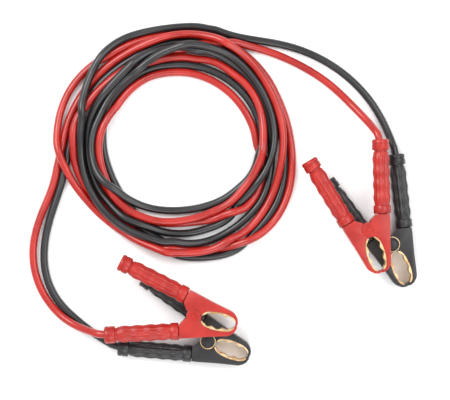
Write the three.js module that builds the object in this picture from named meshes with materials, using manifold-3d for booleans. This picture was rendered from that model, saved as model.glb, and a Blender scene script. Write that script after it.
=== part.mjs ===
import * as THREE from 'three';
import { mergeVertices } from 'three/addons/utils/BufferGeometryUtils.js';
import Module from 'manifold-3d';

const wasm = await Module();
wasm.setup();

// A set of jumper leads, in millimetres, lying on a level floor at z = 0.
// Two leads, red and black, are coiled together, with a spring clamp at each of their four ends.
// A clamp is drawn with its pivot at the origin, its tip towards +X, and the half that moves on +Y.

// Fits
const CLEARANCE = 0.3;
const PARTING_GAP = 0.15;

// Cable
const CABLE_RADIUS = 4.6;
const CABLE_SIDES = 8;
const CABLE_STEP = 22;

// Jaws
const JAW_HEIGHT = 22;
const JAW_LENGTH = 52.5;
const JAW_SHOULDER = 29;
const TIP_ROUND = 8;
const HOLE_START = 9.3;
const TIP_WALL = 2;
const HOLE_LENGTH = JAW_LENGTH - HOLE_START - TIP_WALL;
const HOLE_HALF_WIDTH = 11;
const HOLE_SQUARENESS = 0.6;
const HOLE_STEPS = 14;
const CROTCH_DEPTH = 6;

// Copper liners
const LINER_THICKNESS = 1.4;
const LINER_HEIGHT = 16;
const TOOTH_DEPTH = 0.9;
const LINER_STEPS = 16;
const LINER_END_ANGLE = 0.16;

// Hinge, with the cheeks of both halves in layers around one pin
const KNUCKLE_RADIUS = 8.5;
const KNUCKLE_SIDES = 20;
const OUTER_CHEEK = 4;
const INNER_CHEEK = 3.7;
const PIN_RADIUS = 3;
const PIN_SIDES = 12;
const PIN_CLEARANCE = 0.25;
const SPRING_ROOM_RADIUS = 10;
const SPRING_WIRE_RADIUS = 0.8;
const SPRING_TURNS = 2;
const SPRING_SIDES = 5;

// Grips
const GRIP_ANGLE = THREE.MathUtils.degToRad(15);
const GRIP_LENGTH = 88;
const GRIP_RADIUS = 9.25;
const GRIP_BULGE = 0.35;
const GRIP_BULGES = 4;
const GRIP_SIDES = 12;
const FLANGE_RADIUS = 10.25;
const FLANGE_LENGTH = 10;
const COLLAR_LENGTH = 12;
const GROOVE_LENGTH = 2.5;
const GROOVE_DEPTH = 0.9;
const TANG_LENGTH = 14;
const TANG_WIDTH = 10;
const CABLE_SOCKET_DEPTH = 12;

// Coil, as one ring for the turns of each lead
const COIL_OUTER_RADIUS = 136.5;
const COIL_INNER_RADIUS = 79;
const COIL_LAYER_HEIGHT = 16;
const COIL_EDGE_ROUND = 5;
const COIL_SIDES = 40;

// Places are read in photograph pixels, and one pixel is this many millimetres.
const PIXEL = 1.2;
const PIXEL_ORIGIN = [260.5, 254.5];
const COIL_CENTRE = [176, 146];

const CLAMPS = [
  { name: 'right_red', colour: 'red', pivot: [366, 229], tip: [378.5, 271], level: 1, flipped: true },
  { name: 'right_black', colour: 'black', pivot: [390.5, 244], tip: [406.4, 284.5], level: 0, flipped: true },
  { name: 'left_red', colour: 'red', pivot: [194, 314], tip: [238.6, 323.5], level: 1, flipped: false },
  { name: 'left_black', colour: 'black', pivot: [208, 340], tip: [249, 355], level: 0, flipped: false },
];

// Each free stretch of lead: pixel x, pixel y, height of the centreline, from the coil to its clamp
const LEAD_ROUTES = {
  right_red: [
    [237, 43.6, 23], [250, 46, 22], [270, 51.7, 19], [290, 60, 16], [310, 70.5, 14], [330, 83.5, 14],
    [346.5, 100, 18], [363, 118, 25],
  ],
  right_black: [
    [214, 32.8, 8], [230, 36.5, 7], [250, 40.2, 5.5], [270, 42.2, 4.7], [290, 46, 4.7], [310, 53, 4.7],
    [330, 63.5, 4.7], [350, 78, 4.7], [370, 99, 4.8], [383, 121, 7],
  ],
  left_red: [
    [59, 181, 22], [55, 188, 20], [47.5, 200, 17], [38.8, 220, 11],
    [32.8, 240, 6.5], [31.7, 260, 5], [36, 280, 5.5],
    [45.5, 300, 11], [62, 318, 20], [80, 327.5, 28],
  ],
  left_black: [
    [61.5, 185, 8], [57.5, 197, 7], [52.8, 210, 5.5], [46.3, 230, 4.7],
    [43.3, 250, 4.7], [43.5, 270, 4.7], [49.6, 290, 4.7],
    [63, 309, 4.7], [84, 326, 7],
  ],
};

const COLOURS = {
  red: new THREE.MeshStandardMaterial({ color: 0xb7322c, roughness: 0.5, metalness: 0 }),
  black: new THREE.MeshStandardMaterial({ color: 0x27282a, roughness: 0.55, metalness: 0 }),
  copper: new THREE.MeshStandardMaterial({ color: 0xb98a5a, roughness: 0.35, metalness: 1 }),
  steel: new THREE.MeshStandardMaterial({ color: 0xa9abae, roughness: 0.35, metalness: 1 }),
};

// Conversion between closed meshes and boolean solids

function toSolid(geometry) {
  geometry.deleteAttribute('normal');
  geometry.deleteAttribute('uv');
  const merged = mergeVertices(geometry, 1e-4);
  return new wasm.Manifold(new wasm.Mesh({
    numProp: 3,
    vertProperties: new Float32Array(merged.attributes.position.array),
    triVerts: new Uint32Array(merged.index.array),
  }));
}

function toGeometry(solid) {
  const mesh = solid.getMesh();
  const geometry = new THREE.BufferGeometry();
  geometry.setAttribute('position', new THREE.BufferAttribute(mesh.vertProperties, 3));
  geometry.setIndex(new THREE.BufferAttribute(mesh.triVerts, 1));
  return geometry;
}

// Primitive solids

function prism(points, bottom, top) {
  const shape = new THREE.Shape(points.map(([x, y]) => new THREE.Vector2(x, y)));
  const geometry = new THREE.ExtrudeGeometry(shape, { depth: top - bottom, bevelEnabled: false });
  geometry.translate(0, 0, bottom);
  return toSolid(geometry);
}

function disc(radius, bottom, top, sides = KNUCKLE_SIDES) {
  const geometry = new THREE.CylinderGeometry(radius, radius, top - bottom, sides);
  geometry.rotateX(Math.PI / 2);
  geometry.translate(0, 0, (bottom + top) / 2);
  return toSolid(geometry);
}

function tube(points, radius, sides, steps) {
  const section = new THREE.Shape();
  for (let side = 0; side < sides; side += 1) {
    const turn = (2 * Math.PI * side) / sides;
    const corner = [radius * Math.cos(turn), radius * Math.sin(turn)];
    if (side === 0) section.moveTo(...corner);
    else section.lineTo(...corner);
  }
  section.closePath();
  const path = new THREE.CatmullRomCurve3(points);
  return new THREE.ExtrudeGeometry(section, { steps, extrudePath: path, bevelEnabled: false });
}

// Jaw halves, drawn on the +Y side and mirrored for the half that holds the cable

const GRIP_DIRECTION = new THREE.Vector2(-Math.cos(GRIP_ANGLE), Math.sin(GRIP_ANGLE));
const NECK_OUTER = new THREE.Vector2(-10.5, JAW_SHOULDER);
const NECK_WIDTH = 15.9;
const NECK_INNER = new THREE.Vector2(-GRIP_DIRECTION.y, GRIP_DIRECTION.x)
  .multiplyScalar(NECK_WIDTH).add(NECK_OUTER);
const NECK_CENTRE = NECK_OUTER.clone().add(NECK_INNER).multiplyScalar(0.5);

function holeEdge(inset, steps, startAngle = 0, tooth = 0) {
  const halfLength = HOLE_LENGTH / 2 - inset;
  const halfWidth = HOLE_HALF_WIDTH - inset;
  const points = [];
  for (let step = 0; step <= steps; step += 1) {
    const angle = startAngle + ((Math.PI - 2 * startAngle) * step) / steps;
    const x = HOLE_START + HOLE_LENGTH / 2 - halfLength * Math.cos(angle);
    const y = halfWidth * Math.abs(Math.sin(angle)) ** HOLE_SQUARENESS;
    points.push([x, Math.max(y - (step % 2 ? tooth : 0), PARTING_GAP)]);
  }
  return points;
}

function jawOutline() {
  return [
    ...holeEdge(0, HOLE_STEPS),
    [JAW_LENGTH, PARTING_GAP],
    [JAW_LENGTH + 0.5, TIP_ROUND * 0.4],
    [JAW_LENGTH - 1, TIP_ROUND],
    [JAW_LENGTH - 4.5, TIP_ROUND * 1.5],
    [JAW_LENGTH - 8.5, JAW_SHOULDER / 2],
    [20, JAW_SHOULDER - 8.5],
    [-4, JAW_SHOULDER - 1.5],
    [NECK_OUTER.x, NECK_OUTER.y],
    [NECK_INNER.x, NECK_INNER.y],
    [-KNUCKLE_RADIUS - 1.5, CROTCH_DEPTH],
    [-KNUCKLE_RADIUS + 1, CROTCH_DEPTH - 2],
    [-KNUCKLE_RADIUS + 3, PARTING_GAP],
  ];
}

function tang() {
  const geometry = new THREE.BoxGeometry(TANG_LENGTH + 2, TANG_WIDTH, TANG_WIDTH);
  geometry.translate(-TANG_LENGTH / 2 + 1, 0, 0);
  geometry.rotateZ(-GRIP_ANGLE);
  geometry.translate(NECK_CENTRE.x, NECK_CENTRE.y, JAW_HEIGHT / 2);
  return toSolid(geometry);
}

function jawHalf(isFree) {
  const cheekBottom = isFree ? OUTER_CHEEK + CLEARANCE : 0;
  const top = JAW_HEIGHT;
  const blank = prism(jawOutline(), 0, top).add(tang());
  const side = isFree ? blank : blank.mirror([0, 1, 0]);
  const reach = KNUCKLE_RADIUS + CLEARANCE;
  const springRoom = OUTER_CHEEK + CLEARANCE + INNER_CHEEK;
  let half = side.add(disc(KNUCKLE_RADIUS, cheekBottom, top - cheekBottom));
  if (isFree) {
    half = half.subtract(disc(reach, -1, cheekBottom));
    half = half.subtract(disc(reach, top - cheekBottom, top + 1));
  } else {
    half = half.subtract(disc(reach, OUTER_CHEEK, top - OUTER_CHEEK));
  }
  half = half.subtract(disc(SPRING_ROOM_RADIUS, springRoom, top - springRoom));
  return toGeometry(half.subtract(disc(PIN_RADIUS + PIN_CLEARANCE, -1, top + 1)));
}

function liner(isFree) {
  const outer = holeEdge(CLEARANCE, LINER_STEPS, LINER_END_ANGLE);
  const inner = holeEdge(CLEARANCE + LINER_THICKNESS, LINER_STEPS, LINER_END_ANGLE, TOOTH_DEPTH);
  const margin = (JAW_HEIGHT - LINER_HEIGHT) / 2;
  const strip = prism([...outer, ...inner.reverse()], margin, margin + LINER_HEIGHT);
  return toGeometry(isFree ? strip : strip.mirror([0, 1, 0]));
}

// Grip sleeve, turned about its own axis and pushed over the tang

function gripProfile() {
  const waistStart = FLANGE_LENGTH + 1;
  const waistEnd = GRIP_LENGTH - COLLAR_LENGTH - GROOVE_LENGTH;
  const points = [[0, 0], [FLANGE_RADIUS - 1, 0], [FLANGE_RADIUS, 1], [FLANGE_RADIUS, FLANGE_LENGTH]];
  for (let step = 0; step <= 2 * GRIP_BULGES; step += 1) {
    const along = waistStart + ((waistEnd - waistStart) * step) / (2 * GRIP_BULGES);
    points.push([GRIP_RADIUS + (step % 2 ? GRIP_BULGE : -GRIP_BULGE), along]);
  }
  points.push([GRIP_RADIUS - GROOVE_DEPTH, waistEnd + 0.5]);
  points.push([GRIP_RADIUS - GROOVE_DEPTH, waistEnd + GROOVE_LENGTH]);
  points.push([FLANGE_RADIUS, waistEnd + GROOVE_LENGTH + 0.5]);
  points.push([FLANGE_RADIUS, GRIP_LENGTH - 1.5]);
  points.push([FLANGE_RADIUS - 1.5, GRIP_LENGTH], [0, GRIP_LENGTH]);
  return points.map(([radius, along]) => new THREE.Vector2(radius, along));
}

function grip(isFree) {
  const sleeve = new THREE.LatheGeometry(gripProfile(), GRIP_SIDES);
  const pocketDepth = TANG_LENGTH + CLEARANCE;
  const pocketWidth = TANG_WIDTH + 2 * CLEARANCE;
  const pocket = new THREE.BoxGeometry(pocketWidth, pocketDepth + 1, pocketWidth);
  pocket.translate(0, (pocketDepth - 1) / 2, 0);
  let body = toSolid(sleeve).subtract(toSolid(pocket));
  if (!isFree) {
    const socket = new THREE.CylinderGeometry(
      CABLE_RADIUS + CLEARANCE, CABLE_RADIUS + CLEARANCE, CABLE_SOCKET_DEPTH + 1, GRIP_SIDES,
    );
    socket.translate(0, GRIP_LENGTH - (CABLE_SOCKET_DEPTH - 1) / 2, 0);
    body = body.subtract(toSolid(socket));
  }
  const geometry = toGeometry(body);
  const side = isFree ? 1 : -1;
  geometry.rotateZ(Math.PI / 2 - side * GRIP_ANGLE);
  geometry.translate(
    NECK_CENTRE.x + GRIP_DIRECTION.x * CLEARANCE,
    side * (NECK_CENTRE.y + GRIP_DIRECTION.y * CLEARANCE),
    JAW_HEIGHT / 2,
  );
  return geometry;
}

// Hinge hardware

function pivotPin() {
  return toGeometry(disc(PIN_RADIUS, CLEARANCE, JAW_HEIGHT - CLEARANCE, PIN_SIDES));
}

function torsionSpring() {
  const radius = PIN_RADIUS + CLEARANCE + SPRING_WIRE_RADIUS;
  const rise = 2 * SPRING_WIRE_RADIUS + 0.1;
  const legSide = radius + CLEARANCE;
  const roomInside = SPRING_ROOM_RADIUS * Math.cos(Math.PI / KNUCKLE_SIDES);
  const legReach = Math.sqrt((roomInside - CLEARANCE - SPRING_WIRE_RADIUS) ** 2 - legSide ** 2);
  const bottom = JAW_HEIGHT / 2 - (rise * SPRING_TURNS) / 2;
  const stepsPerTurn = 10;
  const points = [new THREE.Vector3(legSide, -legReach, bottom)];
  for (let step = 0; step <= SPRING_TURNS * stepsPerTurn; step += 1) {
    const turn = (2 * Math.PI * step) / stepsPerTurn;
    const height = bottom + (rise * step) / stepsPerTurn;
    points.push(new THREE.Vector3(radius * Math.cos(turn), radius * Math.sin(turn), height));
  }
  points.push(new THREE.Vector3(legSide, legReach, bottom + rise * SPRING_TURNS));
  return tube(points, SPRING_WIRE_RADIUS, SPRING_SIDES, 3 * stepsPerTurn);
}

// Assembly

function addMesh(parent, name, geometry, material) {
  const mesh = new THREE.Mesh(geometry, material);
  mesh.name = name;
  parent.add(mesh);
}

function pixelPlace([x, y], height = 0) {
  return new THREE.Vector3((x - PIXEL_ORIGIN[0]) * PIXEL, (PIXEL_ORIGIN[1] - y) * PIXEL, height);
}

function clamp({ name, colour, pivot, tip, level, flipped }) {
  const turned = new THREE.Group();
  const shell = COLOURS[colour];
  addMesh(turned, `${name}_cable_jaw`, jawHalf(false), shell);
  addMesh(turned, `${name}_free_jaw`, jawHalf(true), shell);
  addMesh(turned, `${name}_cable_grip`, grip(false), shell);
  addMesh(turned, `${name}_free_grip`, grip(true), shell);
  addMesh(turned, `${name}_cable_liner`, liner(false), COLOURS.copper);
  addMesh(turned, `${name}_free_liner`, liner(true), COLOURS.copper);
  addMesh(turned, `${name}_pivot_pin`, pivotPin(), COLOURS.steel);
  addMesh(turned, `${name}_torsion_spring`, torsionSpring(), COLOURS.steel);
  if (flipped) {
    turned.rotation.x = Math.PI;
    turned.position.z = JAW_HEIGHT;
  }
  const placed = new THREE.Group();
  placed.add(turned);
  placed.position.copy(pixelPlace(pivot, level * (JAW_HEIGHT + CLEARANCE)));
  placed.rotation.z = Math.atan2(pivot[1] - tip[1], tip[0] - pivot[0]);
  return placed;
}

function socketPlaces({ flipped }, placed) {
  const side = flipped ? 1 : -1;
  return [GRIP_LENGTH + 8, GRIP_LENGTH + 2, GRIP_LENGTH - CABLE_SOCKET_DEPTH + CLEARANCE].map((along) => {
    const reach = along + CLEARANCE;
    const local = new THREE.Vector3(
      NECK_CENTRE.x + GRIP_DIRECTION.x * reach,
      side * (NECK_CENTRE.y + GRIP_DIRECTION.y * reach),
      JAW_HEIGHT / 2,
    );
    return local.applyMatrix4(placed.matrix);
  });
}

// A lead leaves the coil along its outer wall, whose flat facets leave the clearance.
function coilExit(first) {
  const centre = pixelPlace(COIL_CENTRE, first.z);
  const reach = COIL_OUTER_RADIUS + CABLE_RADIUS;
  return first.clone().sub(centre).setLength(reach).add(centre);
}

function leadTail(spec, placed) {
  placed.updateMatrix();
  const route = LEAD_ROUTES[spec.name].map(([x, y, height]) => pixelPlace([x, y], height));
  route[0] = coilExit(route[0]);
  const points = [...route, ...socketPlaces(spec, placed)];
  const length = new THREE.CatmullRomCurve3(points).getLength();
  return tube(points, CABLE_RADIUS, CABLE_SIDES, Math.ceil(length / CABLE_STEP) + 4);
}

function coilRing(level) {
  const bottom = level * (COIL_LAYER_HEIGHT + CLEARANCE);
  const top = bottom + COIL_LAYER_HEIGHT;
  const round = COIL_EDGE_ROUND;
  const profile = [
    [COIL_INNER_RADIUS + round, bottom], [COIL_OUTER_RADIUS - round, bottom],
    [COIL_OUTER_RADIUS, bottom + round], [COIL_OUTER_RADIUS, top - round],
    [COIL_OUTER_RADIUS - round, top], [COIL_INNER_RADIUS + round, top],
    [COIL_INNER_RADIUS, top - round], [COIL_INNER_RADIUS, bottom + round],
    [COIL_INNER_RADIUS + round, bottom],
  ].map(([radius, height]) => new THREE.Vector2(radius, height));
  const geometry = new THREE.LatheGeometry(profile, COIL_SIDES);
  geometry.rotateX(Math.PI / 2);
  const centre = pixelPlace(COIL_CENTRE);
  geometry.translate(centre.x, centre.y, 0);
  return geometry;
}

const group = new THREE.Group();
const clamps = new THREE.Group();
group.add(clamps);

for (const spec of CLAMPS) {
  const placed = clamp(spec);
  clamps.add(placed);
  addMesh(group, `${spec.name}_lead`, leadTail(spec, placed), COLOURS[spec.colour]);
}
addMesh(group, 'black_coil', coilRing(0), COLOURS.black);
addMesh(group, 'red_coil', coilRing(1), COLOURS.red);

// The origin is on the floor, under the middle of the four clamps.
const middle = new THREE.Box3().setFromObject(clamps, true).getCenter(new THREE.Vector3());
group.position.set(-middle.x, -middle.y, 0);

export default group;
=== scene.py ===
import math

import bmesh
import bpy
import numpy as np
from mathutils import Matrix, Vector


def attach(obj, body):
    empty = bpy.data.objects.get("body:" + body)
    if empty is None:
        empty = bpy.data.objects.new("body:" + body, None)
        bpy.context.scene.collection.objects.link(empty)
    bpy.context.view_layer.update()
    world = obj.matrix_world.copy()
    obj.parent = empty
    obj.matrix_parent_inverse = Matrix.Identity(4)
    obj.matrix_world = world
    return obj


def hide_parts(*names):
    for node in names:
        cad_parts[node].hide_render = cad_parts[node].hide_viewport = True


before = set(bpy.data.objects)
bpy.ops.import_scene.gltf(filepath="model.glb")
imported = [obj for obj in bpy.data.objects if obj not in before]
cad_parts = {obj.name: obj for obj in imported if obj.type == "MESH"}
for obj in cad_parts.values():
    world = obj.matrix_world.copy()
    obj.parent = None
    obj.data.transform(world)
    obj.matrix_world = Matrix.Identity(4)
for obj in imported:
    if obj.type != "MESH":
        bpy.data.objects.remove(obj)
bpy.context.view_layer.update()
bpy.ops.object.select_all(action="DESELECT")

# places are read in photograph pixels, as in the part's source, and become metres here
photo = {"metresPerPixel": 0.0012, "originX": 260.5, "originY": 254.5,
         "shiftX": -0.0002087, "shiftY": -0.0029449}
cable = {"radius": 0.0046, "step": 0.005, "socketDepth": 0.0117, "bevelSteps": 5}


def pixelPlace(x, y, height=0.0):
    scale = photo["metresPerPixel"]
    return Vector(((x - photo["originX"]) * scale + photo["shiftX"],
                   (photo["originY"] - y) * scale + photo["shiftY"], height))


# camera, straight above the set
view = {"centreX": 225, "centreY": 200, "widthPixels": 450, "height": 2.2, "sensor": 36.0}
viewWidth = view["widthPixels"] * photo["metresPerPixel"]
cameraData = bpy.data.cameras.new("camera")
cameraData.sensor_width = view["sensor"]
cameraData.lens = view["sensor"] * view["height"] / viewWidth
camera = bpy.data.objects.new("camera", cameraData)
camera.location = pixelPlace(view["centreX"], view["centreY"], view["height"])
bpy.context.collection.objects.link(camera)
bpy.context.scene.camera = camera
print("camera placed")


# materials

def hexColour(text):
    values = [int(text[i:i + 2], 16) / 255 for i in (1, 3, 5)]
    return [v / 12.92 if v <= 0.04045 else ((v + 0.055) / 1.055) ** 2.4 for v in values] + [1.0]


def addNode(material, kind, settings=None, links=None):
    node = material.node_tree.nodes.new(kind)
    for name, value in (settings or {}).items():
        if name in node.inputs:
            node.inputs[name].default_value = value
        else:
            setattr(node, name, value)
    for name, source in (links or {}).items():
        material.node_tree.links.new(source, node.inputs[name])
    return node


def newMaterial(name, spec):
    material = bpy.data.materials.new(name)
    material.use_nodes = True
    shader = material.node_tree.nodes["Principled BSDF"]
    shader.inputs["Metallic"].default_value = spec["metallic"]
    shader.inputs["Coat Weight"].default_value = spec.get("coat", 0.0)
    place = addNode(material, "ShaderNodeTexCoord").outputs["Object"]
    patches = addNode(material, "ShaderNodeTexNoise",
                      {"Scale": 1 / spec["patchSize"], "Detail": 4.0}, {"Vector": place})
    tint = addNode(material, "ShaderNodeValToRGB", {}, {"Fac": patches.outputs["Fac"]})
    tint.color_ramp.elements[0].position = 0.35
    tint.color_ramp.elements[0].color = hexColour(spec["dark"])
    tint.color_ramp.elements[1].position = 0.65
    tint.color_ramp.elements[1].color = hexColour(spec["light"])
    gloss = addNode(material, "ShaderNodeMapRange",
                    {"To Min": spec["smooth"], "To Max": spec["rough"]},
                    {"Value": patches.outputs["Fac"]})
    grain = addNode(material, "ShaderNodeTexNoise",
                    {"Scale": 1 / spec["grainSize"], "Detail": 3.0}, {"Vector": place})
    bump = addNode(material, "ShaderNodeBump",
                   {"Strength": spec["bump"], "Distance": spec["grainSize"] * 0.2},
                   {"Height": grain.outputs["Fac"]})
    link = material.node_tree.links.new
    link(tint.outputs["Color"], shader.inputs["Base Color"])
    link(gloss.outputs["Result"], shader.inputs["Roughness"])
    link(bump.outputs["Normal"], shader.inputs["Normal"])
    return material


finishes = {
    # injection-moulded polypropylene: even colour, satin, a fine spark-eroded grain
    "red_plastic": newMaterial("redPolypropylene", {
        "dark": "#98150d", "light": "#ac2016", "metallic": 0.0, "smooth": 0.3, "rough": 0.42,
        "patchSize": 0.02, "grainSize": 0.0009, "bump": 0.25}),
    "black_plastic": newMaterial("blackPolypropylene", {
        "dark": "#1a1a1c", "light": "#242427", "metallic": 0.0, "smooth": 0.3, "rough": 0.45,
        "patchSize": 0.02, "grainSize": 0.0009, "bump": 0.25}),
    # extruded soft PVC: smooth and glossy, with faint waves from the die
    "red_jacket": newMaterial("redPvcJacket", {
        "dark": "#98140d", "light": "#ae2017", "metallic": 0.0, "smooth": 0.22, "rough": 0.34,
        "patchSize": 0.03, "grainSize": 0.003, "bump": 0.12, "coat": 0.2}),
    "black_jacket": newMaterial("blackPvcJacket", {
        "dark": "#161618", "light": "#212124", "metallic": 0.0, "smooth": 0.24, "rough": 0.36,
        "patchSize": 0.03, "grainSize": 0.003, "bump": 0.12, "coat": 0.2}),
    # copper-plated pressed steel: warm and slightly dull, cloudy from handling
    "copper_plate": newMaterial("copperPlatedSteel", {
        "dark": "#c49a68", "light": "#ecd3a8", "metallic": 1.0, "smooth": 0.28, "rough": 0.5,
        "patchSize": 0.008, "grainSize": 0.0006, "bump": 0.15}),
    # zinc-plated steel wire and pin: grey, with a soft shine
    "steel": newMaterial("zincPlatedSteel", {
        "dark": "#8f9194", "light": "#b4b6b9", "metallic": 1.0, "smooth": 0.25, "rough": 0.42,
        "patchSize": 0.006, "grainSize": 0.0005, "bump": 0.1}),
}


def dress(piece, slot):
    piece.data.materials.clear()
    piece.data.materials.append(finishes[slot])


# clamps: pivot and tip in the photograph, storey counted up from the floor, and whether face down
clamps = {
    "right_red": {"colour": "red", "pivot": (366, 229), "tip": (378.5, 271), "storey": 1,
                  "flipped": True},
    "right_black": {"colour": "black", "pivot": (390.5, 244), "tip": (406.4, 284.5), "storey": 0,
                  "flipped": True},
    "left_red": {"colour": "red", "pivot": (194, 314), "tip": (238.6, 323.5), "storey": 1,
                  "flipped": False},
    "left_black": {"colour": "black", "pivot": (208, 340), "tip": (249, 355), "storey": 0,
                  "flipped": False},
}
clampSize = {"height": 0.022, "storeyGap": 0.0003, "edgeRound": 0.0007, "edgeSteps": 3}
grip = {"angle": math.radians(15), "length": 0.088, "radius": 0.00925, "flange": 0.01025,
        "nearX": -0.01283, "nearY": 0.02132, "ribs": 14, "ribDepth": 0.00038,
        "bulge": 0.00045, "bulges": 4, "sides": 72, "seat": 0.0003}


def clampPlace(clamp, x, y, z):
    pivot = pixelPlace(*clamp["pivot"])
    tip = pixelPlace(*clamp["tip"])
    along = (tip - pivot).normalized()
    across = Vector((-along.y, along.x, 0))
    if clamp["flipped"]:
        y, z = -y, -z
    floor = clamp["storey"] * (clampSize["height"] + clampSize["storeyGap"])
    return pivot + along * x + across * y + Vector((0, 0, floor + clampSize["height"] / 2 + z))


def gripPoint(clamp, side, along, radius=0.0, turn=0.0):
    dirX, dirY = -math.cos(grip["angle"]), side * math.sin(grip["angle"])
    x = grip["nearX"] + dirX * (along + grip["seat"])
    y = side * grip["nearY"] + dirY * (along + grip["seat"])
    out = radius * math.cos(turn)
    return clampPlace(clamp, x - dirY * out, y + dirX * out, radius * math.sin(turn))


# leads: (x, y, height in mm) of each free stretch, then the coil as (angle, radius, layer),
# the angle counted anticlockwise from the top about the coil's centre and on through every turn
coil = {"centreX": 175, "centreY": 145, "layer": 0.0055, "startHeight": 0.005, "degreesPerPoint": 7.5}
leads = {
    "red": {
        "right": [
            (363, 118, 25), (346.5, 100, 18), (330, 83.5, 14), (310, 70.5, 14), (290, 60, 15),
            (270, 51.7, 18), (255, 47.2, 20),
        ],
        "coil": [
            (-24, 112, 3), (-14, 104.5, 2.4), (-3, 98, 1.6), (9, 93, 1.2), (23, 89, 1),
            (45, 85, 1), (60, 84, 1), (90, 81, 1), (120, 81, 1), (150, 83, 1), (180, 79, 1.4),
            (195, 78, 1.8), (210, 84, 2.4), (225, 92, 2.6), (240, 96, 1.8), (250, 95, 1.2),
            (262, 88, 1.2), (285, 80.3, 1.3), (300, 78.3, 1.4), (330, 75.5, 1.4), (360, 74.5, 1.5),
            (390, 74.5, 1.5), (420, 75, 1.5), (435, 76.5, 1.6), (450, 78.5, 1.8), (480, 80, 1.6),
            (510, 82, 1.6), (525, 80.5, 2.4), (540, 77.5, 2.8), (555, 77.5, 2.8), (570, 80, 2.6),
            (585, 82, 2.6), (600, 83, 2.8), (615, 86.5, 3), (630, 88.5, 3.4), (645, 91.5, 3.7),
            (660, 95.5, 3.8), (675, 97.5, 3.8), (690, 95.5, 3.8), (705, 90.5, 3.6), (720, 88.5, 3),
            (735, 88.3, 2.4), (750, 89, 2.3), (765, 91.5, 2.5), (780, 96, 2.7), (795, 102.5, 2.8),
            (810, 105, 2.6), (825, 103, 2.2), (840, 97, 2), (855, 95, 2), (870, 97, 2.1),
            (885, 101, 2.3), (900, 105, 2.6), (915, 111, 2.8), (930, 118, 3), (945, 124, 3.2),
            (960, 125.5, 3.2), (975, 121.5, 3.1), (990, 116, 3), (1005, 112, 2.8),
            (1020, 110.5, 2.8), (1035, 112, 2.8), (1050, 113, 2.8), (1065, 112, 2.8),
            (1080, 110.5, 3), (1095, 109, 3.2), (1110, 111, 3.4), (1125, 115.5, 3.6),
            (1140, 119.5, 3.8), (1155, 120.5, 4), (1170, 118, 4), (1185, 112, 3.8),
            (1200, 104.5, 3.8), (1215, 100.5, 3.8), (1230, 99.7, 3.9), (1245, 102.2, 4),
            (1260, 107.7, 4.2), (1275, 111.4, 4.4), (1290, 114, 4.6), (1320, 111.5, 4.8),
            (1335, 109, 4.8), (1365, 109.5, 4.8), (1380, 110.5, 4.8), (1395, 113, 4.8),
            (1410, 115, 4.8), (1425, 113.5, 4.8), (1440, 111, 4.8), (1455, 106, 4.8),
            (1470, 104.5, 4.6), (1485, 102.5, 4.4), (1500, 105.2, 4.2), (1515, 109.3, 3.8),
            (1530, 111, 3.4), (1542, 116, 3),
        ],
        "left": [
            (56.5, 184, 19), (52.5, 191, 16), (47.5, 200, 13), (38.8, 220, 7), (32.8, 240, 5),
            (31.7, 260, 4.8), (36, 280, 5.5), (45.5, 300, 11), (62, 318, 20), (80, 327.5, 28),
        ],
    },
    "black": {
        "right": [
            (383, 121, 7), (370, 99, 4.8), (350, 78, 4.7), (330, 63.5, 4.7), (310, 53, 4.7),
            (290, 46, 4.7), (270, 42.2, 4.7), (255, 40.4, 5),
        ],
        "coil": [
            (-31.6, 124, 0.6), (-15, 118.5, 1.2), (0, 116.5, 2), (15, 117, 3), (30, 118, 4.4),
            (45, 114, 5.4), (60, 103.5, 5.6), (75, 97, 5.6), (90, 95, 5.4), (120, 97, 5.4),
            (150, 98, 5.4), (165, 99.7, 5), (180, 101, 4.6), (195, 102.7, 4.2), (210, 103.2, 3.8),
            (225, 103.3, 3.4), (240, 102.5, 3.2), (255, 99.5, 3), (270, 97, 2.8), (285, 97.5, 2.8),
            (300, 100, 2.8), (315, 103, 2.8), (330, 103.5, 2.9), (345, 102, 3), (360, 99, 3.1),
            (375, 93, 3.2), (390, 89, 3.2), (405, 86.5, 3.1), (420, 85.5, 3), (435, 85.5, 2.8),
            (450, 86.5, 2.6), (465, 88, 2.6), (495, 88, 2.6), (510, 87.5, 2.6), (525, 88.3, 2.4),
            (540, 90.5, 2.2), (570, 91, 2), (585, 90.5, 2.2), (600, 90, 3), (615, 96, 3.6),
            (630, 100.5, 3.9), (645, 101, 3.9), (660, 102.5, 3.9), (675, 105.5, 3.9),
            (690, 105.5, 3.8), (705, 104, 3.6), (720, 97, 3.4), (735, 91, 3.2), (750, 85.5, 3),
            (765, 83, 2.9), (780, 82, 2.8), (810, 83, 2.8), (825, 84.5, 2.9), (840, 80, 3),
            (855, 75, 3), (870, 71, 3), (885, 68, 2.8), (900, 66.5, 2.4), (915, 67, 2.2),
            (930, 70.5, 2.2), (945, 76, 2), (960, 82, 1.8), (975, 86, 2), (990, 88.5, 2.4),
            (1005, 90, 2.6), (1020, 88, 2.7), (1035, 86, 2.7), (1065, 83, 2.6), (1095, 82.5, 2.4),
            (1110, 81.5, 2.2), (1125, 79.5, 2), (1155, 78, 1), (1170, 73.5, 0.6), (1185, 71, 0.3),
            (1200, 71.5, 0.1), (1215, 76, 0), (1230, 83, 0), (1245, 95, 0), (1260, 108, 0),
            (1275, 116.5, 0), (1290, 119.5, 0.2), (1305, 121, 0.3), (1320, 118.5, 0.4),
            (1335, 114, 0.4), (1350, 109, 0.4), (1380, 107, 0.4), (1395, 108, 0.4),
            (1425, 104, 0.4), (1440, 102, 0.4), (1455, 98.5, 0.3), (1470, 96.5, 0.3),
            (1500, 98, 0.2), (1515, 101, 0.1), (1530, 106, 0), (1540, 112, 0),
        ],
        "left": [
            (60.5, 191, 4.7), (57, 199, 4.7), (52.8, 210, 4.7), (46.3, 230, 4.7), (43.3, 250, 4.7),
            (43.5, 270, 4.7), (49.6, 290, 4.7), (63, 309, 4.7), (84, 326, 7),
        ],
    },
}


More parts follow.
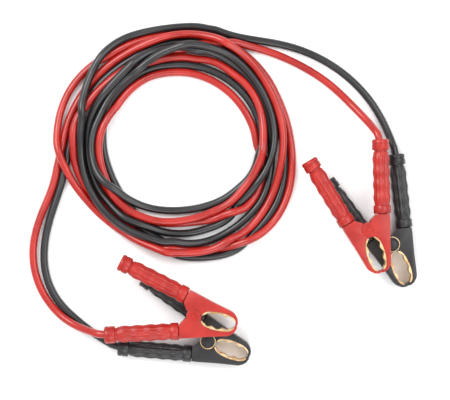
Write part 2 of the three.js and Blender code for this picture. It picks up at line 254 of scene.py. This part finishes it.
def socketPoints(clamp):
    depths = (-0.008, -0.002, cable["socketDepth"])
    return [gripPoint(clamp, -1, grip["length"] - depth) for depth in depths]


def coilPoints(knots):
    angles, radii, layers = (np.array(column) for column in zip(*knots))
    points = []
    for angle in np.arange(angles[0], angles[-1], coil["degreesPerPoint"]):
        radius = np.interp(angle, angles, radii)
        turn = math.radians(angle)
        height = coil["startHeight"] + coil["layer"] * np.interp(angle, angles, layers)
        points.append(pixelPlace(coil["centreX"] - radius * math.sin(turn),
                                 coil["centreY"] - radius * math.cos(turn), height))
    return points


def smoothRoute(points):
    smoothingPasses = 12
    route = np.array([tuple(p) for p in points])
    lengths = np.r_[0, np.cumsum(np.linalg.norm(np.diff(route, axis=0), axis=1))]
    count = int(lengths[-1] / cable["step"])
    even = np.linspace(0, lengths[-1], count)
    route = np.column_stack([np.interp(even, lengths, route[:, k]) for k in range(3)])
    for _ in range(smoothingPasses):
        route[1:-1] += 0.5 * ((route[:-2] + route[2:]) / 2 - route[1:-1])
    return route


def leadRoute(colour):
    lead = leads[colour]
    right = [pixelPlace(x, y, z / 1000) for x, y, z in lead["right"]]
    left = [pixelPlace(x, y, z / 1000) for x, y, z in lead["left"]]
    start = socketPoints(clamps["right_" + colour])[::-1]
    end = socketPoints(clamps["left_" + colour])
    return smoothRoute(start + right + coilPoints(lead["coil"]) + left + end)


# how the leads settle: distances in metres for each step, shares of a shift, and counts of points
settle = {"steps": 260, "lateShare": 0.8, "sink": 0.00012, "lateSink": 0.00002, "backToPlan": 0.05,
          "lateBackToPlan": 0.01, "sideStiffness": 0.15, "liftStiffness": 0.45, "skin": 0.0001,
          "leastLift": 0.0012, "sideShare": 0.7, "pushShare": 1.4, "pushRounds": 2, "heldPoints": 5,
          "reachInRadii": 3.2, "neighbours": 8}


def closePairs(points, owner):
    # two stretches can touch where they lie near in plan and aren't neighbours along one lead
    pairs = []
    reach = settle["reachInRadii"] * cable["radius"]
    for i in range(len(points)):
        near = np.nonzero(np.linalg.norm(points[i + 1:, :2] - points[i, :2], axis=1) < reach)[0] + i + 1
        apart = (owner[near] != owner[i]) | (near - i > settle["neighbours"])
        pairs += [(i, j) for j in near[apart]]
    return np.array(pairs)


def settleLeads(routes):
    # the turns sink under their weight, rest on each other one diameter apart and keep their order
    points = np.vstack(routes)
    owner = np.concatenate([np.full(len(r), k) for k, r in enumerate(routes)])
    plan = points[:, :2].copy()
    first, second = closePairs(points, owner).T
    order = np.where(points[first, 2] >= points[second, 2], 1.0, -1.0)
    diameter = 2 * cable["radius"] + settle["skin"]
    ends = np.cumsum([0] + [len(r) for r in routes])
    held = np.zeros(len(points), bool)
    for k in range(len(routes)):
        held[ends[k]:ends[k] + settle["heldPoints"]] = True
        held[ends[k + 1] - settle["heldPoints"]:ends[k + 1]] = True
    start = points.copy()
    stiffness = np.array([settle["sideStiffness"], settle["sideStiffness"], settle["liftStiffness"]])
    for step in range(settle["steps"]):
        late = step > settle["steps"] * settle["lateShare"]
        points[:, 2] -= settle["lateSink"] if late else settle["sink"]
        back = settle["lateBackToPlan"] if late else settle["backToPlan"]
        points[:, :2] += back * (plan - points[:, :2])
        for k in range(len(routes)):
            part = points[ends[k]:ends[k + 1]]
            bend = (part[:-2] + part[2:]) / 2 - part[1:-1]
            part[1:-1] += bend * stiffness
        for _ in range(settle["pushRounds"]):
            gap = points[first] - points[second]
            gap[:, 2] = order * np.maximum(order * gap[:, 2], settle["leastLift"])
            length = np.linalg.norm(gap, axis=1)
            overlap = np.where(length < diameter, (diameter - length) / 2, 0)
            push = overlap[:, None] * gap / length[:, None]
            push[:, :2] *= settle["sideShare"]
            total = np.zeros_like(points)
            hits = np.zeros(len(points))
            np.add.at(total, first, push)
            np.add.at(total, second, -push)
            np.add.at(hits, first, length < diameter)
            np.add.at(hits, second, length < diameter)
            points += settle["pushShare"] * total / np.maximum(hits, 1)[:, None]
        points[:, 2] = np.maximum(points[:, 2], cable["radius"])
        points[held] = start[held]
    return [points[ends[k]:ends[k + 1]] for k in range(len(routes))]


def makeLead(colour, route):
    curve = bpy.data.curves.new(colour + "Cable", "CURVE")
    curve.dimensions = "3D"
    curve.bevel_depth = cable["radius"]
    curve.bevel_resolution = cable["bevelSteps"]
    curve.use_fill_caps = True
    spline = curve.splines.new("POLY")
    spline.points.add(len(route) - 1)
    for point, place in zip(spline.points, route):
        point.co = (*place, 1.0)
    spline.use_smooth = True
    piece = bpy.data.objects.new(colour + "Cable", curve)
    bpy.context.collection.objects.link(piece)
    dress(piece, colour + "_jacket")
    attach(piece, "leads")
    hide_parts("right_" + colour + "_lead", "left_" + colour + "_lead", colour + "_coil")


redRoute, blackRoute = settleLeads([leadRoute("red"), leadRoute("black")])
makeLead("red", redRoute)
makeLead("black", blackRoute)


# helpers that finish a piece

def shadeSmooth(piece):
    bpy.ops.object.select_all(action="DESELECT")
    piece.select_set(True)
    bpy.context.view_layer.objects.active = piece
    bpy.ops.object.shade_smooth_by_angle(angle=math.radians(35))
    piece.select_set(False)


def finishMesh(form, name, slot, body):
    bmesh.ops.remove_doubles(form, verts=form.verts, dist=1e-6)
    bmesh.ops.recalc_face_normals(form, faces=form.faces)
    mesh = bpy.data.meshes.new(name)
    form.to_mesh(mesh)
    form.free()
    piece = bpy.data.objects.new(name, mesh)
    bpy.context.collection.objects.link(piece)
    shadeSmooth(piece)
    dress(piece, slot)
    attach(piece, body)
    return piece


# grips: soft sleeves with long ribs, swellings for the fingers, a flange and a grooved collar

def gripRings(hasSocket):
    length, flange, radius = grip["length"], grip["flange"], grip["radius"]
    rings = [(0.0, 0.0, 0), (0.0, flange - 0.001, 0), (0.0004, flange - 0.0003, 0), (0.001, flange, 0),
             (0.009, flange, 0), (0.0096, flange - 0.0003, 0), (0.0101, radius - 0.0004, 0)]
    waistStart, waistEnd = 0.0108, length - 0.0155
    for step in range(33):
        share = step / 32
        swell = -grip["bulge"] * math.cos(2 * math.pi * grip["bulges"] * share)
        ribs = min(1.0, 8 * share, 8 * (1 - share))
        rings.append((waistStart + (waistEnd - waistStart) * share, radius + swell, ribs))
    rings += [(waistEnd + 0.0006, radius - 0.0014, 0), (waistEnd + 0.0024, radius - 0.0014, 0),
              (waistEnd + 0.003, flange - 0.0004, 0), (waistEnd + 0.0036, flange, 0),
              (length - 0.0062, flange, 0), (length - 0.0058, flange - 0.0005, 0),
              (length - 0.0048, flange - 0.0005, 0), (length - 0.0044, flange, 0),
              (length - 0.0016, flange, 0), (length - 0.0006, flange - 0.0005, 0),
              (length, flange - 0.0016, 0)]
    if hasSocket:
        rings += [(length, 0.0054, 0), (length - 0.0004, 0.0049, 0), (length - 0.0119, 0.0049, 0),
                  (length - 0.012, 0.0, 0)]
    else:
        rings += [(length, 0.0, 0)]
    return rings


def makeGrip(name, clamp, side, body):
    form = bmesh.new()
    rows = []
    for along, radius, ribs in gripRings(side < 0):
        row = []
        for k in range(grip["sides"]):
            turn = 2 * math.pi * k / grip["sides"]
            rib = grip["ribDepth"] * ribs * math.cos(grip["ribs"] * turn)
            row.append(form.verts.new(gripPoint(clamp, side, along, max(radius + rib, 0.0), turn)))
        rows.append(row)
    for lower, upper in zip(rows, rows[1:]):
        for k in range(grip["sides"]):
            after = (k + 1) % grip["sides"]
            form.faces.new((lower[k], lower[after], upper[after], upper[k]))
    piece = finishMesh(form, name + "Sleeve", clamp["colour"] + "_plastic", body)
    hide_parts(name)


# jaws: the node's own shape with its moulded edges rounded

def roundedCopy(nodeName, slot, body):
    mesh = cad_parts[nodeName].data.copy()
    form = bmesh.new()
    form.from_mesh(mesh)
    bmesh.ops.remove_doubles(form, verts=form.verts, dist=2e-6)
    bmesh.ops.dissolve_limit(form, angle_limit=math.radians(1), verts=form.verts, edges=form.edges)
    form.to_mesh(mesh)
    form.free()
    piece = bpy.data.objects.new(nodeName + "Rounded", mesh)
    bpy.context.collection.objects.link(piece)
    bevel = piece.modifiers.new("edges", "BEVEL")
    bevel.width = clampSize["edgeRound"]
    bevel.segments = clampSize["edgeSteps"]
    bevel.limit_method = "ANGLE"
    bevel.angle_limit = math.radians(40)
    bpy.context.view_layer.objects.active = piece
    bpy.ops.object.modifier_apply(modifier="edges")
    shadeSmooth(piece)
    dress(piece, slot)
    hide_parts(nodeName)
    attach(piece, body)


def turnedPiece(name, clamp, profile, slot):
    # a round piece on the clamp's upper face, about its pivot, from (radius, height over the face)
    sides = 48
    face = -1 if clamp["flipped"] else 1
    form = bmesh.new()
    rows = []
    for radius, rise in profile:
        row = []
        for k in range(sides):
            turn = 2 * math.pi * k / sides
            place = clampPlace(clamp, radius * math.cos(turn), radius * math.sin(turn),
                               face * (clampSize["height"] / 2 + rise))
            row.append(form.verts.new(place))
        rows.append(row)
    for lower, upper in zip(rows, rows[1:]):
        for k in range(sides):
            after = (k + 1) % sides
            form.faces.new((lower[k], lower[after], upper[after], upper[k]))
    finishMesh(form, name, slot, "leads")


# the raised housing of the spring, with the pin's rivet head in its middle
barrelProfile = ((0.0, -0.0006), (0.0062, -0.0006), (0.0062, 0.0005), (0.0056, 0.001), (0.0042, 0.001),
                 (0.0036, 0.0004), (0.0026, 0.0004), (0.0022, 0.0009), (0.0, 0.0011))
# the plated edge of the pressed cheek that shows round a black clamp's knuckle
cheekProfile = ((0.0084, 0.00002), (0.0092, 0.00002), (0.0092, 0.0001), (0.009, 0.0002),
(0.0086, 0.0002),
                (0.0084, 0.0001), (0.0084, 0.00002))
# the low plastic cap over a black clamp's pin
capProfile = ((0.0, 0.00002), (0.005, 0.00002), (0.005, 0.0001), (0.0046, 0.0002), (0.0, 0.0002))


# liners: a plated strip round the jaw's mouth, pressed into rounded teeth
liner = {"mouthStart": 0.0093, "mouthLength": 0.0412, "mouthHalfWidth": 0.011, "squareness": 0.6,
         "seat": 0.0003, "wall": 0.0012, "toothDepth": 0.0021, "teeth": 4, "halfHeight": 0.0107,
         "endAngle": 0.16, "steps": 64}


def linerEdge(inset, toothed):
    halfLength = liner["mouthLength"] / 2 - inset
    halfWidth = liner["mouthHalfWidth"] - inset
    edge = []
    for step in range(liner["steps"] + 1):
        share = step / liner["steps"]
        angle = liner["endAngle"] + (math.pi - 2 * liner["endAngle"]) * share
        tooth = 0.0
        if toothed:
            tooth = liner["toothDepth"] * (1 - math.cos(2 * math.pi * liner["teeth"] * share)) / 2
        middle = liner["mouthStart"] + liner["mouthLength"] / 2
        edge.append((middle - halfLength * math.cos(angle),
                     halfWidth * math.sin(angle) ** liner["squareness"] - tooth * math.sin(angle)))
    return edge


def makeLiner(name, clamp, side, body):
    outer = linerEdge(liner["seat"], False)
    inner = linerEdge(liner["seat"] + liner["wall"], True)
    form = bmesh.new()
    rows = []
    for (outX, outY), (inX, inY) in zip(outer, inner):
        corners = ((outX, outY, -1), (outX, outY, 1), (inX, inY, 1), (inX, inY, -1))
        rows.append([form.verts.new(clampPlace(clamp, x, side * y, z * liner["halfHeight"]))
                     for x, y, z in corners])
    for lower, upper in zip(rows, rows[1:]):
        for k in range(4):
            after = (k + 1) % 4
            form.faces.new((lower[k], lower[after], upper[after], upper[k]))
    form.faces.new(rows[0])
    form.faces.new(rows[-1])
    piece = finishMesh(form, name + "Pressed", "copper_plate", body)
    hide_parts(name)


for name, clamp in clamps.items():
    plastic = clamp["colour"] + "_plastic"
    half = name + "_half"
    roundedCopy(name + "_cable_jaw", plastic, "leads")
    roundedCopy(name + "_free_jaw", plastic, half)
    makeLiner(name + "_cable_liner", clamp, -1, "leads")
    makeLiner(name + "_free_liner", clamp, 1, half)
    makeGrip(name + "_cable_grip", clamp, -1, "leads")
    makeGrip(name + "_free_grip", clamp, 1, half)
    if clamp["storey"] == 1:
        turnedPiece(name + "Barrel", clamp, barrelProfile, plastic)
    else:
        turnedPiece(name + "CheekEdge", clamp, cheekProfile, "copper_plate")
        turnedPiece(name + "PinCap", clamp, capProfile, plastic)
    for part in ("_pivot_pin", "_torsion_spring"):
        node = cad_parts[name + part]
        node.data.materials.clear()
        node.data.materials.append(finishes["steel"])
print("clamps dressed")


# studio: a pale floor and soft light

def makeStudio():
    bpy.ops.mesh.primitive_plane_add(size=6, location=(0, 0, -0.0002))
    floor = bpy.context.object
    floor.name = "floor"
    paper = bpy.data.materials.new("whitePaper")
    paper.use_nodes = True
    paper.node_tree.nodes["Principled BSDF"].inputs["Base Color"].default_value = hexColour("#f6f6f6")
    paper.node_tree.nodes["Principled BSDF"].inputs["Roughness"].default_value = 0.9
    floor.data.materials.append(paper)
    for name, place, power, size in (("softboxLeft", (-0.9, 0.8, 1.4), 22, 1.0),
                                     ("softboxRight", (1.0, 0.3, 1.5), 14, 1.2),
                                     ("softboxFront", (0.1, -1.2, 1.3), 10, 1.0)):
        light = bpy.data.lights.new(name, "AREA")
        light.energy = power
        light.size = size
        lamp = bpy.data.objects.new(name, light)
        lamp.location = place
        lamp.rotation_euler = (Vector((0, 0, 0)) - Vector(place)).to_track_quat("-Z", "Y").to_euler()
        bpy.context.collection.objects.link(lamp)
    world = bpy.data.worlds.new("studio")
    world.use_nodes = True
    world.node_tree.nodes["Background"].inputs["Color"].default_value = (1, 1, 1, 1)
    world.node_tree.nodes["Background"].inputs["Strength"].default_value = 0.85
    bpy.context.scene.world = world
    bpy.context.scene.view_settings.view_transform = "Standard"


makeStudio()
print("studio lit")
